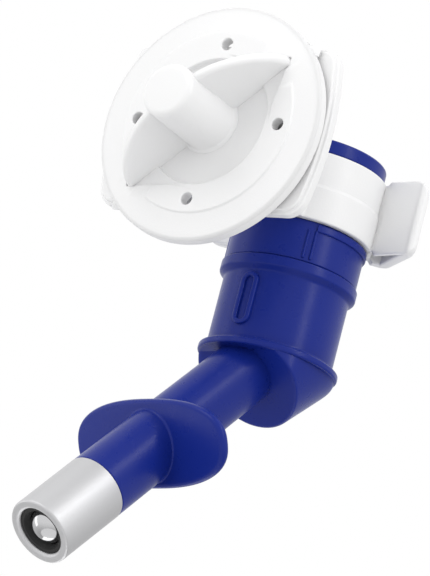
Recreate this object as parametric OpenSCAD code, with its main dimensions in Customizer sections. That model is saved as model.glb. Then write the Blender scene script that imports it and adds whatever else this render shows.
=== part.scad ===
// Pet drinking nozzle on a cage clamp: a screw-on cap for an upturned bottle, an
// angled spout with a sprung ball valve, and a snap bracket held to cage wires by
// a wing disc.
// Frame: origin on the stud's axis, in the plane of the back plate's clamping
// face. -Y points through the cage wall, +Z up along the bottle, +X to the right.

/* [Back plate] */
// Reach of the back plate past the turn disc on each side, at its middle
plate_over = 0.8; // [-2:0.1:4]
// Offset of the back plate to the left of the stud's axis
plate_left = 0.5; // [-1:0.1:1]
// Offset of the back plate above the stud's axis
plate_up = 0.7; // [-1:0.1:1]
// Height of the back plate
plate_h = 40; // [34:0.2:52]
// Thickness of the back plate
plate_t = 3.3; // [2.4:0.1:5]
// Corner radius of the back plate
plate_corner_r = 4.6; // [3:0.1:9]
// Radius of the bowed ends of the back plate
plate_bow_r = 75; // [60:1:120]
// Depth of the step round the plate's front edge
plate_step = 0.8; // [0.3:0.1:1.4]

/* [Clamp screw] */
// Outer radius of the stud's thread
stud_r = 4.22; // [3.4:0.02:5]
// Pitch of the clamp thread
stud_pitch = 3; // [2:0.25:4]
// Length of the stud in front of the plate
stud_len = 20; // [14:0.5:21]
// Depth of the clamp thread's groove
stud_groove = 0.7; // [0.3:0.05:1]
// Running clearance of the clamp thread, on the radius
thread_gap = 0.08; // [0.02:0.01:0.1]

/* [Turn disc] */
// Outer radius of the turn disc
disc_r = 28.5; // [25:0.5:34]
// Gap between the plate and the disc's back rim
disc_gap = 0.8; // [0.4:0.1:3]
// Thickness of the disc, from its back rim to the hole face
disc_t = 4.2; // [3.6:0.1:6]
// Radius of the circle that the four small holes lie on
hole_circle_r = 18.8; // [17.5:0.1:20]
// Radius of the small holes
hole_r = 1.45; // [0.8:0.05:2]
// Radius of the raised middle of the disc's front
face_r = 21.9; // [21:0.1:23.5]
// Depth of the round well under the wings
well_depth = 1.3; // [0.6:0.1:1.6]
// Radius of the round well
well_r = 15.1; // [13:0.1:16]
// Depth of the two corners that lead from the well to the wings' tips
corner_depth = 0.6; // [0.3:0.1:1.2]

/* [Wing grip] */
// Radius of the hub between the wings
hub_r = 6.65; // [6:0.05:8.5]
// Height of the hub above the disc's hole face
hub_h = 18; // [16:0.5:26]
// Height of the wings above the disc's hole face
wing_h = 15.6; // [9:0.2:15.8]
// Distance from the hub's axis to a wing's tip
wing_reach = 24.1; // [18:0.1:24.4]
// Thickness of a wing
wing_t = 2.8; // [1.8:0.1:4]
// Lean of the wings from the horizontal
wing_lean = 43; // [0:1:90]

/* [Thrust washer] */
// Outer radius of the thrust washer
washer_r = 11; // [8:0.5:12]
// Thickness of the thrust washer
washer_t = 1.6; // [1:0.1:1.8]

/* [Clip] */
// Distance from the plate's front face to the bottle's axis
axis_y = 42.7; // [38:0.1:52]
// Height of the clip ring
ring_h = 16.5; // [12:0.5:20]
// Wall of the clip ring
ring_wall = 1.75; // [1.4:0.05:3]
// Running clearance between clip ring and cap, on the radius
ring_gap = 0.08; // [0.02:0.01:0.1]
// Drop of the ring's middle below the stud's axis
ring_drop = 0.9; // [-2:0.1:4]
// Half angle of the ring's mouth
mouth_half = 42; // [34:1:55]
// Distance from the ring's outside to the outer tip of a finger tab
tab_spread = 11.4; // [8:0.2:16]
// Reach of the lip that turns out from the ring's end
lip_out = 3.9; // [3:0.1:5]
// Rise of that lip away from the clamp
lip_back = 2.7; // [1.5:0.1:4]
// Distance that a finger tab sweeps back towards the clamp
tab_sweep = 7; // [4:0.2:9]
// Thickness of a finger tab's lip and tip
tab_t = 2.6; // [1.6:0.1:3.4]
// Thickness of the web that braces a finger tab against the ring
tab_web = 1.5; // [1:0.1:2.2]
// Reach of a finger tab above and below the ring's height
tab_over = 0.85; // [0:0.05:1.5]
// Corner radius of a finger tab's tip
tab_corner_r = 3; // [1:0.1:5]

/* [Neck] */
// Width of the neck between plate and ring
neck_w = 18; // [12:0.5:22]
// Thickness of the neck's upper and lower webs
neck_web = 2.8; // [2:0.1:4]

/* [Bottle thread] */
// Inner radius of the bottle thread's crests
bottle_r = 13; // [12:0.1:13.4]
// Depth of the bottle thread's grooves
bottle_groove = 0.85; // [0.4:0.05:0.9]
// Pitch of the bottle thread
bottle_pitch = 2.7; // [2:0.1:4]
// Depth of the threaded socket
socket_depth = 18.5; // [15:0.5:20]

/* [Cap] */
// Wall of the cap outside the thread's grooves
cap_wall = 1.35; // [1:0.05:1.6]
// Radius of the cap's top rim
rim_r = 15.9; // [15.6:0.05:16.8]
// Height of the cap's top rim
rim_h = 3.3; // [2:0.1:6]
// Radius of the cap's shoulder under the clip ring
shoulder_r = 16.1; // [15.7:0.05:16.9]
// Height of the cap's shoulder
shoulder_h = 2; // [1:0.1:3]
// Radius of the cap's band below the shoulder
band_r = 15.6; // [15.4:0.05:16.5]
// Height of the cap's band below the shoulder
band_h = 7.6; // [7.4:0.1:12]
// Thickness of the cap's inner floor
floor_t = 2.2; // [1.4:0.1:3]
// Radius of the water hole in the cap's floor
water_r = 7; // [4:0.5:9]
// Thickness of the gasket on the cap's floor
gasket_t = 1.8; // [1:0.1:2.4]

/* [Nozzle body] */
// Radius of the nozzle body's barrel
barrel_r = 14.8; // [14:0.1:15.4]
// Height of the barrel between flange and lip
barrel_h = 17.8; // [15:0.2:26]
// Radius of the lip at the top of the barrel
lip_r = 16.1; // [15.4:0.1:17]
// Height of the lip
lip_h = 2.2; // [1.4:0.1:3.4]
// Visible groove between lip and cap
cap_seam = 0.6; // [0.2:0.1:0.9]
// Radius of the flange at the foot of the barrel
flange_r = 16.5; // [16:0.1:18]
// Thickness of the flange
flange_t = 1.6; // [1:0.1:2.4]
// Radius of the angled socket under the flange, at its face
elbow_r = 15; // [13:0.1:15.4]
// Growth of the socket's radius for each mm away from its face
elbow_draft = 0.08; // [0:0.01:0.12]
// Wall of the barrel
barrel_wall = 2.5; // [1.8:0.1:2.8]
// Height of the raised key on the barrel
key_h = 12.8; // [8:0.2:14]
// Width of the raised key
key_w = 4.4; // [4:0.2:7]
// Turn of the key from the spout's side of the barrel
key_turn = 11.8; // [-30:0.1:30]

/* [Spout] */
// Angle between the spout and straight down
spout_angle = 40.3; // [30:0.1:50]
// Turn of the spout from the clamp's axis, as set on the shelf
spout_turn = 12.7; // [-60:0.1:60]
// Height of the crossing of spout axis and bottle axis above the flange
cross_h = 2.5; // [1.5:0.1:4]
// Distance from the crossing to the socket's face
face_s = 10; // [8.5:0.1:13]
// Radius of the hole that takes the tube's plug
root_r = 7.2; // [6.4:0.05:7.4]
// Radius of the spout tube at the socket's face
tube_root_r = 7.6; // [7.3:0.05:8]
// Radius of the spout tube where the steel sleeve starts
tube_end_r = 7.95; // [7.3:0.05:8]
// Length of the tube from the socket's face to the sleeve
tube_len = 53.2; // [44:0.2:70]
// Radius of the water bore
bore_r = 3.6; // [2.6:0.1:4]
// Depth of the tube's plug in its socket
plug_len = 5; // [3.5:0.5:5.5]
// Clearance round the tube's plug
plug_gap = 0.06; // [0.02:0.01:0.15]

/* [Tube shield] */
// Distance from the socket's face to the shield's middle
shield_s = 33.6; // [26:0.1:38]
// Half width of the long shield
shield_a = 22.8; // [16:0.1:26]
// Half height of the shield, little more than the tube
shield_b = 9.7; // [9.4:0.1:14]
// Thickness of the shield
shield_t = 2.4; // [1.6:0.1:3.4]
// Lean of the shield from square to the tube, its upper edge nearer the socket
shield_lean = 22; // [0:0.2:26]
// Exponent of the shield's oval: 2 is an ellipse, more is squarer
shield_power = 2.8; // [2:0.05:4]

/* [Steel sleeve] */
// Outer radius of the steel sleeve
sleeve_r = 8; // [8:0.05:8.4]
// Length of the steel sleeve
sleeve_len = 19.9; // [19.4:0.1:26]
// Wall of the steel sleeve
sleeve_wall = 1.2; // [0.8:0.05:1.3]
// Radius of the opening in the sleeve's rolled lip
lip_hole_r = 5.8; // [5:0.05:6]
// Rounding of the sleeve's outer end
lip_round = 0.8; // [0.5:0.05:1.2]

/* [Valve] */
// Radius of the steel valve ball
ball_r = 4.75; // [4.4:0.05:4.9]
// Radius of the sealing edge that the ball rests on
seal_r = 4; // [3.2:0.05:4.1]
// Depth of the rubber seat's nose behind the sleeve's rolled lip
nose_depth = 0.75; // [0.5:0.05:1]
// Depth of the sealing edge behind the nose, down the seat's cone
seal_depth = 1.25; // [0.15:0.05:1.4]
// Thickness of the rubber seat ring
seat_t = 2.2; // [1.4:0.1:2.6]
// Travel of the ball when it is pushed in
ball_travel = 2.5; // [1.5:0.1:2.6]
// Rest gap between ball and sealing edge
ball_gap = 0.12; // [0.05:0.01:0.3]
// Radius of the spring's wire
spring_wire_r = 0.35; // [0.25:0.05:0.45]
// Radius of the spring from its axis to the wire's middle
spring_r = 3.75; // [3.2:0.05:3.9]
// Number of the spring's working curls
spring_curls = 7; // [5:1:8]

/* [Hidden] */
$fn = 72;

white = [0.93, 0.93, 0.93];
blue = [0.16, 0.20, 0.52];
steel = [0.75, 0.75, 0.76];
black = [0.08, 0.08, 0.08];
eps = 0.01;

// clamp side, measured along -Y from the plate's front face
plate_w = 2 * (disc_r + plate_over);
disc_back = disc_gap;
disc_face = disc_gap + disc_t;
well_floor = disc_face - well_depth;
grip_r = stud_r + thread_gap;
hub_top = disc_face + hub_h;
hub_skin = 1.6;
washer_gap = 0.35;
washer_seat = washer_gap + washer_t;
rim_t = 2.2;
edge_drop = 1.1;

// cap side, measured up the bottle's axis from the flange's upper face
lip_top = barrel_h + lip_h;
cap_foot = lip_top + cap_seam;
shoulder_foot = cap_foot + band_h;
shoulder_top = shoulder_foot + shoulder_h;
ring_play = 0.25;
journal_h = ring_h + 2 * ring_play;
rim_foot = shoulder_top + journal_h;
cap_top = rim_foot + rim_h;
thread_root_r = bottle_r + bottle_groove;
journal_r = thread_root_r + cap_wall;
socket_floor = cap_top - socket_depth;
nozzle_z = -ring_drop - ring_h / 2 - ring_play - shoulder_top;
gasket_room = gasket_t + 0.2;
crest_top = cap_top - 1;
crest_len = crest_top - socket_floor - gasket_room;
ring_in = journal_r + ring_gap;
ring_out = ring_in + ring_wall;
ring_low = -ring_drop - ring_h / 2;
tab_reach = ring_out + tab_spread;

// spigot and O-ring between nozzle body and cap
spigot_wall = 1.9;
spigot_r = barrel_r - 1.6;
skirt_r = spigot_r + 0.1;
spigot_top = socket_floor - floor_t - 0.6;
o_ring_r = 0.62;
o_ring_mid = cap_foot + 2.6;
o_groove_half = 0.85;
o_groove_depth = 2 * o_ring_r - 0.06;

// spout, measured along its axis from the crossing with the bottle's axis
sleeve_s = face_s + tube_len;
tip_s = sleeve_s + sleeve_len;
sleeve_in = sleeve_r - sleeve_wall;
spigot_out = sleeve_in - 0.06;
seat_front = tip_s - sleeve_wall;
seat_back = seat_front - seat_t;
seat_r = sleeve_in - 0.04;
nose_s = tip_s - nose_depth;
edge_s = nose_s - seal_depth;
ball_s = edge_s - ball_gap - sqrt(ball_r * ball_r - seal_r * seal_r);
cup_floor = 1.3;
cup_back = ball_s - ball_r - cup_floor;
cup_front = ball_s - 0.5;
cup_r = sleeve_in - 0.08;
tube_tip_s = cup_back - ball_travel - 0.3;
spring_bore_r = spring_r + spring_wire_r + 0.35;
spring_len = 13.5;
spring_foot = cup_back - spring_len;
plug_r = root_r - plug_gap;

// nozzle body's key and water chamber
key_rise = 0.8;
key_lip = 1.1;
key_proud = 0.8;
key_root = 0.5;
cavity_step = 1.2;
cavity_floor = cross_h + 2.6;

module at_bottle() {
    translate([0, axis_y, nozzle_z]) rotate([0, 0, -spout_turn]) children();
}

// +Z of the children runs down the spout from the crossing of the two axes
module at_spout() {
    at_bottle() translate([0, 0, cross_h]) rotate([180 - spout_angle, 0, 0]) children();
}

// +Z of the children runs out through the cage wall from the plate's face
module at_clamp() {
    rotate([90, 0, 0]) children();
}

// solid of revolution with its outline given as [radius, height] points
module turned(outline) {
    rotate_extrude() polygon(outline);
}

module ring(r_out, r_in, low, high) {
    translate([0, 0, low]) difference() {
        cylinder(r = r_out, h = high - low);
        translate([0, 0, -eps]) cylinder(r = r_in, h = high - low + 2 * eps);
    }
}

module torus(ring_mid_r, wire_r, z) {
    translate([0, 0, z]) rotate_extrude() translate([ring_mid_r, 0]) circle(r = wire_r, $fn = 32);
}

// plate outline with bowed ends and round corners, drawn in by the given inset
module bowed_outline(inset) {
    bow_r = plate_bow_r - inset;
    corner_r = plate_corner_r - inset;
    bow_x = plate_w / 2 - plate_bow_r;
    corner_y = plate_h / 2 - plate_corner_r;
    turn = asin(corner_y / (plate_bow_r - plate_corner_r));
    corner_x = bow_x + (plate_bow_r - plate_corner_r) * cos(turn);
    quarter = concat(
        [for (i = [0 : 5]) [bow_x + bow_r * cos(turn * i / 6), bow_r * sin(turn * i / 6)]],
        [for (i = [0 : 8]) let (a = turn + (90 - turn) * i / 8)
            [corner_x + corner_r * cos(a), corner_y + corner_r * sin(a)]]);
    for (x = [0, 1], y = [0, 1])
        mirror([x, 0]) mirror([0, y]) polygon(concat([[-eps, -eps]], [[quarter[0][0], -eps]], quarter,
            [[-eps, corner_y + corner_r]]));
}

module back_plate() {
    color(white) at_clamp() difference() {
        translate([-plate_left, plate_up, -plate_t]) {
            linear_extrude(plate_t - plate_step) bowed_outline(0);
            linear_extrude(plate_t) bowed_outline(plate_step);
        }
        translate([0, 0, -plate_t - eps]) cylinder(r = stud_r, h = plate_t + 2 * eps);
    }
}

// threaded rod moulded into the plate, its thread drawn as rings
module clamp_stud() {
    core_r = stud_r - stud_groove;
    turns = floor((stud_len - 3) / stud_pitch);
    color(white) at_clamp() difference() {
        union() {
            translate([0, 0, -plate_t]) cylinder(r = stud_r, h = stud_len + plate_t - 1);
            translate([0, 0, stud_len - 1]) cylinder(r1 = stud_r, r2 = stud_r - 1, h = 1);
        }
        for (i = [1 : turns])
            translate([0, 0, 1.5 + i * stud_pitch - stud_pitch / 2]) rotate_extrude()
                polygon([[core_r, -0.3], [stud_r + 1, -1.3], [stud_r + 1, 1.3], [core_r, 0.3]]);
    }
}

// I-shaped arm from the plate to the clip ring
module bracket_neck() {
    arm_end = axis_y - sqrt(ring_out * ring_out - neck_w * neck_w / 4) + 3;
    rib_t = 3;
    color(white) difference() {
        union() {
            for (z = [ring_low, ring_low + ring_h - neck_web])
                translate([-neck_w / 2, plate_t, z]) cube([neck_w, arm_end - plate_t, neck_web]);
            translate([-rib_t / 2, plate_t, ring_low]) cube([rib_t, arm_end - plate_t, ring_h]);
            translate([0, plate_t, ring_low]) rotate([90, 0, 0]) translate([-neck_w / 2, 0, -neck_web])
                cube([neck_w, ring_h, neck_web]);
        }
        translate([0, axis_y, ring_low - 1]) cylinder(r = ring_out, h = ring_h + 2);
    }
}

// C-shaped spring clip round the cap, open away from the clamp
module clip_ring() {
    reach = 2 * ring_out;
    groove = 0.45;
    color(white) translate([0, axis_y, ring_low]) difference() {
        cylinder(r = ring_out, h = ring_h);
        translate([0, 0, -eps]) cylinder(r = ring_in, h = ring_h + 2 * eps);
        translate([0, 0, -1]) linear_extrude(ring_h + 2)
            polygon([[0, 0], [reach * sin(mouth_half), reach * cos(mouth_half)],
                     [0, 2 * reach], [-reach * sin(mouth_half), reach * cos(mouth_half)]]);
        translate([0, 0, ring_h / 2]) rotate_extrude()
            polygon([[ring_out - groove, -0.3], [ring_out + 1, -0.7], [ring_out + 1, 0.3],
                     [ring_out - groove, 0.1]]);
    }
}

// lip that turns out from the ring's end and sweeps back as a finger tab, with a web from its tip
// to the ring that closes the plan to a triangle
module finger_tab() {
    mid_r = (ring_in + ring_out) / 2;
    half = tab_t / 2;
    root = [mid_r * sin(mouth_half), mid_r * cos(mouth_half)];
    bend = root + [lip_out, lip_back];
    tip = [tab_reach - half, root[1] - tab_sweep];
    web_at = mouth_half + 17;
    web_root = [mid_r * sin(web_at), mid_r * cos(web_at)];
    u = (bend - root) / norm(bend - root);
    v = (tip - bend) / norm(tip - bend);
    w = (tip - web_root) / norm(tip - web_root);
    side_u = [-u[1], u[0]];
    side_v = [-v[1], v[0]];
    side_w = [-w[1], w[0]];
    corner = [for (i = [0 : 4]) let (m = side_u * (4 - i) + side_v * i) bend + half * m / norm(m)];
    rounded_tip = [for (a = [0 : 30 : 180]) tip + half * (cos(a) * side_v + sin(a) * v)];
    start = root - u;
    web_low = tip - side_w * (half - tab_web);
    tall = ring_h + 2 * tab_over;
    far = tab_reach + 1;
    curve = [for (a = [0 : 15 : 90]) [cos(a), sin(a)] * tab_corner_r];
    corner_x = tab_reach - tab_corner_r;
    front = concat([[0, -tab_over]], [for (c = curve) [corner_x + c[1], tab_corner_r - tab_over - c[0]]],
        [for (c = curve) [corner_x + c[0], tall - tab_over - tab_corner_r + c[1]]], [[0, tall - tab_over]]);
    translate([0, axis_y, ring_low]) intersection() {
        difference() {
            translate([0, 0, -tab_over]) linear_extrude(tall) union() {
                polygon(concat([start + half * side_u], corner, rounded_tip,
                    [bend - (side_u + side_v) * half / (1 + side_u * side_v), start - half * side_u]));
                polygon([web_root - w, web_low, tip - side_w * half, web_root - w - side_w * tab_web]);
            }
            translate([0, 0, -tab_over - 1]) cylinder(r = ring_in, h = tall + 2);
            for (z = [-tab_over - 1, ring_h])
                translate([0, 0, z]) cylinder(r = ring_out + 0.3, h = tab_over + 1);
            translate([0, 0, -1]) linear_extrude(ring_h + 2) difference() {
                circle(r = ring_out);
                polygon([[0, 0], [2 * ring_out * sin(mouth_half), 2 * ring_out * cos(mouth_half)],
                         [0, 4 * ring_out]]);
            }
        }
        translate([0, far, 0]) rotate([90, 0, 0]) linear_extrude(2 * far) polygon(front);
    }
}

module clip_tab_right() {
    color(white) finger_tab();
}

module clip_tab_left() {
    color(white) mirror([1, 0, 0]) finger_tab();
}

module thrust_washer() {
    color(white) at_clamp() ring(washer_r, grip_r + 0.3, washer_gap, washer_seat);
}

module turn_disc() {
    bowl_r = disc_r - rim_t;
    bowl_in = washer_r + 2;
    skin = 1.5;
    corner = [well_r * well_r / wing_reach, well_r * sqrt(1 - pow(well_r / wing_reach, 2))];
    color(white) at_clamp() difference() {
        turned([[0, disc_back], [disc_r - 0.5, disc_back], [disc_r, disc_back + 0.5],
                [disc_r, disc_face - edge_drop - 0.5], [disc_r - 0.5, disc_face - edge_drop],
                [face_r, disc_face - 0.35], [face_r - 0.35, disc_face], [0, disc_face]]);
        translate([0, 0, -eps]) cylinder(r = grip_r, h = disc_face + 1);
        translate([0, 0, disc_back - 1]) cylinder(r = washer_r + 0.25, h = washer_seat + 0.1 - disc_back + 1);
        turned([[bowl_in, disc_back - 1], [bowl_r, disc_back - 1], [bowl_r, disc_back + 0.6],
                [bowl_r - 1, well_floor - skin], [bowl_in, well_floor - skin]]);
        translate([0, 0, well_floor]) cylinder(r = well_r, h = 2 * well_depth);
        translate([0, 0, disc_face - corner_depth]) linear_extrude(2 * well_depth) rotate([0, 0, wing_lean])
            polygon([[wing_reach, 0], [corner[0], corner[1]], [-corner[0], corner[1]],
                     [-wing_reach, 0], [-corner[0], -corner[1]], [corner[0], -corner[1]]]);
        for (a = [0 : 90 : 270])
            rotate([0, 0, a]) translate([hole_circle_r, 0, 0])
                cylinder(r = hole_r, h = disc_face + 1, $fn = 32);
    }
}

// hub with the blind threaded bore, and its two finger wings
module wing_grip() {
    bow = 1.55;
    span = wing_reach - 0.6 - hub_r;
    top = wing_h + well_depth;
    edge = [for (i = [0 : 12]) let (a = 90 * i / 12)
        [hub_r + span * pow(sin(a), 2 / bow), top * pow(cos(a), 2 / bow)]];
    color(white) at_clamp() difference() {
        union() {
            translate([0, 0, well_floor]) turned([[0, 0], [hub_r + 0.5, 0], [hub_r, 0.6],
                [hub_r, hub_top - well_floor - 1.4], [hub_r - 0.45, hub_top - well_floor - 0.5],
                [hub_r - 1.4, hub_top - well_floor], [0, hub_top - well_floor + 0.3]]);
            for (side = [0, 180])
                rotate([0, 0, wing_lean + side]) translate([0, wing_t / 2, well_floor]) rotate([90, 0, 0])
                    linear_extrude(wing_t) polygon(concat([[0, 0], [0, top]], edge));
        }
        translate([0, 0, well_floor - 1]) cylinder(r = grip_r, h = hub_top - hub_skin - well_floor + 1);
        ring(wing_reach + 1, well_r - 0.02, well_floor - 1, disc_face - corner_depth);
    }
}

// partial collar: a ring cut away over the given half angle round -Y
module open_collar(r_out, r_in, low, high, open_half) {
    reach = 2 * r_out;
    difference() {
        ring(r_out, r_in, low, high);
        translate([0, 0, low - 1]) linear_extrude(high - low + 2)
            polygon([[0, 0], [-reach * sin(open_half), -reach * cos(open_half)],
                     [0, -2 * reach], [reach * sin(open_half), -reach * cos(open_half)]]);
    }
}

// bottle cap: threaded socket above, skirt over the nozzle body's spigot below
module bottle_cap() {
    turns = floor((crest_len - 1) / bottle_pitch);
    open_half = 59.5;
    color(blue) at_bottle() difference() {
        union() {
            turned([[0, cap_foot], [band_r - 0.3, cap_foot], [band_r, cap_foot + 0.3],
                    [band_r, shoulder_top - 0.3], [band_r - 0.3, shoulder_top],
                    [journal_r, shoulder_top], [journal_r, rim_foot], [rim_r - 0.2, rim_foot],
                    [rim_r, rim_foot + 0.2], [rim_r, cap_top - 0.5], [rim_r - 0.5, cap_top],
                    [0, cap_top]]);
            open_collar(shoulder_r, band_r - 1, shoulder_foot, shoulder_top - 0.2, open_half);
            for (a = [-open_half, -open_half + 6.5, open_half - 6.5, open_half])
                rotate([0, 0, a]) translate([-0.4, -band_r - 0.35, cap_foot + 0.6])
                    cube([0.8, 2, shoulder_foot - cap_foot - 0.4]);
        }
        translate([0, 0, socket_floor]) cylinder(r = bottle_r, h = socket_depth + 1);
        translate([0, 0, socket_floor]) cylinder(r = thread_root_r, h = gasket_room);
        translate([0, 0, crest_top]) cylinder(r1 = bottle_r, r2 = bottle_r + 1.1, h = 1.1);
        for (i = [1 : turns])
            translate([0, 0, crest_top - i * bottle_pitch + 0.4]) rotate_extrude()
                polygon([[bottle_r - 1, -0.9], [thread_root_r, -0.4], [thread_root_r, 0.4],
                         [bottle_r - 1, 0.9]]);
        translate([0, 0, cap_foot - 1]) cylinder(r = skirt_r, h = socket_floor - floor_t - cap_foot + 1);
        translate([0, 0, cap_foot]) cylinder(r = water_r, h = cap_top);
    }
}

module neck_gasket() {
    color(black) at_bottle() ring(thread_root_r - 0.1, water_r + 1, socket_floor, socket_floor + gasket_t);
}

module cap_o_ring() {
    color(black) at_bottle() torus(skirt_r - 0.02 - o_ring_r, o_ring_r, o_ring_mid);
}

// raised key on the barrel, near the spout's side
module barrel_key(grow, low, high) {
    w = (key_w + grow) / 2;
    rise = (high - low) / 2 - w;
    loop = [for (side = [1, -1]) for (a = [0 : 9 : 180]) [side * w * cos(a), side * (rise + w * sin(a))]];
    translate([0, 0, low]) rotate([0, 0, key_turn]) intersection() {
        ring(barrel_r + key_proud, barrel_r - key_root, 0, high - low);
        translate([0, 0, (high - low) / 2]) rotate([90, 0, 0]) linear_extrude(2 * barrel_r) polygon(loop);
    }
}

// barrel, flange and angled socket that carry the spout
module nozzle_body() {
    key_low = (barrel_h - key_h) / 2 + key_rise;
    depth = 2 * elbow_r + face_s;
    cavity_r = barrel_r - barrel_wall - cavity_step;
    color(blue) difference() {
        union() {
            at_bottle() turned([[0, -flange_t], [flange_r - 0.4, -flange_t], [flange_r, -flange_t + 0.4],
                [flange_r, -0.4], [flange_r - 0.4, 0], [barrel_r + 0.6, 0.1], [barrel_r, 0.7],
                [barrel_r, barrel_h - 0.8], [lip_r - 0.6, barrel_h], [lip_r, barrel_h + 0.6],
                [lip_r, lip_top - 0.5], [lip_r - 0.5, lip_top], [spigot_r, lip_top],
                [spigot_r, spigot_top - 0.4], [spigot_r - 0.4, spigot_top], [0, spigot_top]]);
            intersection() {
                at_spout() translate([0, 0, face_s - depth]) turned([[0, 0], [elbow_r + elbow_draft * depth, 0],
                    [elbow_r, depth - 0.5], [elbow_r - 0.5, depth], [0, depth]]);
                at_bottle() translate([0, 0, -2 * elbow_r - flange_t])
                    cylinder(r = flange_r - 0.3, h = 2 * elbow_r + flange_t);
            }
            difference() {
                at_bottle() barrel_key(0, key_low, key_low + key_h);
                at_bottle() difference() {
                    barrel_key(-2 * key_lip, key_low + key_lip, key_low + key_h - key_lip);
                    cylinder(r = barrel_r + 0.25, h = barrel_h);
                }
            }
        }
        at_bottle() translate([0, 0, cavity_floor]) cylinder(r = cavity_r, h = spigot_top);
        at_bottle() translate([0, 0, lip_top - 1]) cylinder(r = spigot_r - spigot_wall, h = spigot_top);
        at_bottle() ring(spigot_r + 1, spigot_r - o_groove_depth, o_ring_mid - o_groove_half,
            o_ring_mid + o_groove_half);
        at_spout() translate([0, 0, face_s - plug_len]) cylinder(r = root_r, h = plug_len + 4);
        at_spout() translate([0, 0, -cavity_floor - 3])
            cylinder(r = bore_r, h = cavity_floor + 4 + face_s - plug_len);
    }
}

module root_o_ring() {
    color(black) at_spout() torus(root_r - 0.01 - 0.5, 0.48, face_s - plug_len / 2);
}

// angled tube with its plug, spring bore and the spigot under the sleeve
module nozzle_tube() {
    start = face_s - plug_len;
    color(blue) at_spout() difference() {
        union() {
            translate([0, 0, start + 0.1]) cylinder(r = plug_r, h = plug_len);
            translate([0, 0, face_s + 0.02]) cylinder(r1 = tube_root_r, r2 = tube_end_r, h = tube_len - 0.1);
            translate([0, 0, sleeve_s - 1]) cylinder(r = spigot_out, h = tube_tip_s - sleeve_s + 1);
        }
        translate([0, 0, start - 1]) cylinder(r = bore_r, h = tube_tip_s);
        translate([0, 0, spring_foot - 0.1]) cylinder(r = spring_bore_r, h = tube_tip_s);
        ring(root_r + 1, root_r - 1.05, face_s - plug_len / 2 - 0.6, face_s - plug_len / 2 + 0.6);
        ring(sleeve_r, spigot_out - 0.95, sleeve_s + 2.4, sleeve_s + 3.6);
    }
}

// long oval guard across the tube, leaning back from square
module tube_shield() {
    bore_gap = 0.05;
    far_end = shield_s + shield_b * sin(shield_lean);
    widest_r = tube_root_r + (tube_end_r - tube_root_r) * far_end / tube_len + bore_gap;
    oval = [for (a = [0 : 5 : 355]) [shield_a * sign(cos(a)) * pow(abs(cos(a)), 2 / shield_power),
                                     shield_b * sign(sin(a)) * pow(abs(sin(a)), 2 / shield_power)]];
    color(blue) at_spout() difference() {
        translate([0, 0, face_s + shield_s]) rotate([-shield_lean, 0, 0]) translate([0, 0, -shield_t / 2])
            linear_extrude(shield_t) polygon(oval);
        cylinder(r = widest_r, h = tip_s);
    }
}

module steel_sleeve() {
    color(steel) at_spout() turned(concat(
        [[sleeve_in, sleeve_s], [sleeve_r - 0.4, sleeve_s], [sleeve_r, sleeve_s + 0.4]],
        [for (a = [0 : 15 : 90])
            [sleeve_r - lip_round + lip_round * cos(a), tip_s - lip_round + lip_round * sin(a)]],
        [[lip_hole_r + 0.35, tip_s], [lip_hole_r, tip_s - 0.35], [lip_hole_r, seat_front],
         [sleeve_in, seat_front]]));
}

module sleeve_o_ring() {
    color(black) at_spout() torus(sleeve_in - 0.02 - 0.5, 0.48, sleeve_s + 3);
}

// rubber seat behind the rolled lip: its nose fills the lip's hole and a cone leads in to the sealing edge
module seat_ring() {
    nose_gap = 0.05;
    inner = [for (s = [seat_back, (seat_back + edge_s) / 2])
        [sqrt(ball_r * ball_r - pow(s - ball_s, 2)) + 0.35, s]];
    color(black) at_spout() turned(concat(inner, [[seal_r, edge_s], [seal_r + 0.9, nose_s],
        [lip_hole_r - nose_gap, nose_s], [lip_hole_r - nose_gap, seat_front], [seat_r, seat_front],
        [seat_r, seat_back]]));
}

module valve_ball() {
    color(steel) at_spout() translate([0, 0, ball_s]) sphere(r = ball_r);
}

// guide cup that carries the spring's push to the ball
module ball_cup() {
    slot_w = 2.2;
    color(white) at_spout() difference() {
        translate([0, 0, cup_back]) cylinder(r = cup_r, h = cup_front - cup_back);
        translate([0, 0, ball_s]) sphere(r = ball_r + 0.06);
        for (a = [45 : 90 : 315])
            rotate([0, 0, a]) translate([spring_r + spring_wire_r + 0.6, -slot_w / 2, cup_back - 1])
                cube([sleeve_r, slot_w, cup_front - cup_back + 2]);
    }
}

// one unbroken wire: closed end curls, working curls between them, flat ends
ring_steps = 8;
wire_sides = 6;
end_curls = 1;
all_curls = spring_curls + 2 * end_curls;
end_lift = 2 * spring_wire_r + 0.5;
wire_run = spring_len - 2 * spring_wire_r - 0.1;
spring_low = spring_foot + spring_wire_r + 0.05;
function wire_z(t) = t < end_curls ? end_lift * t / end_curls
    : t > all_curls - end_curls ? wire_run - end_lift * (all_curls - t) / end_curls
    : end_lift + (wire_run - 2 * end_lift) * (t - end_curls) / spring_curls;
function wire_at(t) = [spring_r * cos(360 * t), spring_r * sin(360 * t), spring_low + wire_z(t)];
wire_count = all_curls * ring_steps;
wire_path = [for (i = [0 : wire_count]) wire_at(i / ring_steps)];
wire_points = [for (i = [0 : wire_count]) for (k = [0 : wire_sides - 1])
    let (a = 360 * i / ring_steps, b = 360 * k / wire_sides, r = spring_wire_r)
    wire_path[i] + [r * cos(b) * cos(a), r * cos(b) * sin(a), r * sin(b)]];
wire_faces = concat(
    [[for (k = [0 : wire_sides - 1]) k]],
    [for (i = [0 : wire_count - 1]) for (k = [0 : wire_sides - 1])
        let (p = i * wire_sides + k, q = i * wire_sides + (k + 1) % wire_sides)
        for (f = [[p, p + wire_sides, q + wire_sides], [p, q + wire_sides, q]]) f],
    [[for (k = [wire_sides - 1 : -1 : 0]) wire_count * wire_sides + k]]);
wire_gap = min([for (i = [0 : wire_count - ring_steps]) norm(wire_path[i + ring_steps] - wire_path[i])])
    - 2 * spring_wire_r;
echo(spring_gap_to_itself = wire_gap);

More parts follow.
